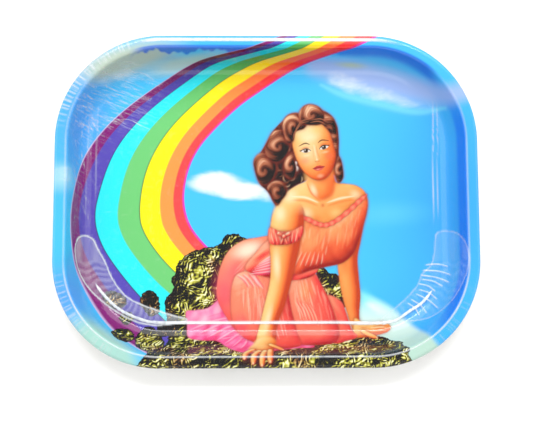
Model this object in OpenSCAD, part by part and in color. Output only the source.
// Small pressed tinplate serving tray with a rolled edge, a printed face
// and a clear film that still clings to the print.
//
// Origin: centre of the underside of the floor. +Z is up, +X runs along the
// length and +Y points to the edge that is the top of the printed picture.

/* [Tray] */
// Overall length
tray_l = 178; // [150:1:220]
// Overall width
tray_w = 140; // [120:1:170]
// Overall height
tray_h = 15; // [13.5:0.5:20]
// Radius of the outer edge at the four corners
corner_r = 45; // [38:1:50]

/* [Pressing] */
// Thickness of the tinplate
sheet_t = 0.35; // [0.25:0.05:0.6]
// Diameter of the rolled edge
roll_d = 2.6; // [2.2:0.1:3.2]
// Width of the rim, from the outer edge to the bend into the wall
rim_w = 4.4; // [4:0.2:8]
// Radius of the bend from the rim into the wall
bend_r = 1.2; // [0.8:0.1:2]
// Lean of the wall from upright, in degrees
wall_lean = 20; // [10:1:35]
// Radius of the cove between the wall and the floor
cove_r = 10; // [6:0.5:11]

/* [Coats and film] */
// Thickness of the white base coat
base_t = 0.05; // [0.02:0.01:0.08]
// Thickness of the printed and varnished coat
ink_t = 0.05; // [0.02:0.01:0.08]
// Thickness of the clear film
film_t = 0.05; // [0.02:0.01:0.08]

/* [Hidden] */

// Where each layer ends round the rolled edge, as an angle in its section:
// 90 is the top of the roll, 0 its outermost line, -90 its lowest
pan_end = -195;
base_end = -60;
ink_end = -30;
film_end = 0;

// Angle between two points of the section on each round
roll_step = 15;
bend_step = 14;
cove_step = 7;

// Heights of the layers over the bare metal face
ink_low = base_t;
film_low = base_t + ink_t;
stack_t = base_t + ink_t + film_t;

// The section, with x outwards from a corner's centre and y up. The angles
// are those of the wall's normal at the bend and at the cove.
roll_r = roll_d / 2;
wall_at_bend = 180 - wall_lean;
wall_at_cove = -wall_lean;
metal_edge = corner_r - stack_t;
metal_top = tray_h - stack_t;
roll_c = [metal_edge - roll_r, metal_top - roll_r];
bend_c = [metal_edge - rim_w, metal_top - bend_r];
cove_y = sheet_t + cove_r;
wall_drop = bend_c[1] + bend_r * sin(wall_at_bend) - cove_y - cove_r * sin(wall_at_cove);
wall_run = wall_drop * tan(wall_lean);
cove_c = [bend_c[0] - bend_r * cos(wall_lean) - wall_run - cove_r * cos(wall_lean), cove_y];

// Centre of the corner in the first quadrant
corner_x = tray_l / 2 - corner_r;
corner_y = tray_w / 2 - corner_r;

// Points on an arc from angle a0 to angle a1, about one step apart
function arc(centre, r, a0, a1, step) =
    let (n = round(abs(a1 - a0) / step))
    [for (i = [0:n]) let (a = a0 + (a1 - a0) * i / n) centre + r * [cos(a), sin(a)]];

function reversed(points) = [for (i = [len(points) - 1:-1:0]) points[i]];

// The section's line at a height over the metal's face, from the rolled
// edge over the rim, down the wall, round the cove and along the floor
function section_line(over, end) = concat(
    arc(roll_c, roll_r + over, end, 90, roll_step),
    arc(bend_c, bend_r + over, 90, wall_at_bend, bend_step),
    arc(cove_c, cove_r - over, wall_at_cove, -90, cove_step),
    [[0, sheet_t + over]]
);

module section(low, high, end) {
    polygon(concat(section_line(high, end), reversed(section_line(low, end))));
}

// One layer of the tray, between two heights over the metal's face: the
// section runs round the corners and along the sides, and a plate fills
// the middle of the floor
module layer(low, high, end) {
    for (quarter = [0:3]) {
        along = quarter % 2 == 0 ? corner_x : corner_y;
        across = quarter % 2 == 0 ? corner_y : corner_x;
        rotate([0, 0, 90 * quarter]) translate([along, across, 0]) {
            rotate_extrude(angle = 90, $fn = 96) section(low, high, end);
            rotate([90, 0, 0]) linear_extrude(height = 2 * across) section(low, high, end);
        }
    }
    translate([-corner_x, -corner_y, sheet_t + low]) cube([2 * corner_x, 2 * corner_y, high - low]);
}

// Pressed tinplate with its edge rolled under
module tray_pan() {
    color("silver") layer(-sheet_t, 0, pan_end);
}

// White enamel under the print; its edge shows just below the print's edge
module base_coat() {
    color("ivory") layer(0, ink_low, base_end);
}

// The printed picture and its varnish
module printed_face() {
    color("deepskyblue") layer(ink_low, film_low, ink_end);
}

// Clear film over the print
module protective_film() {
    color("lightcyan", 0.25) layer(film_low, stack_t, film_end);
}

tray_pan();
base_coat();
printed_face();
protective_film();
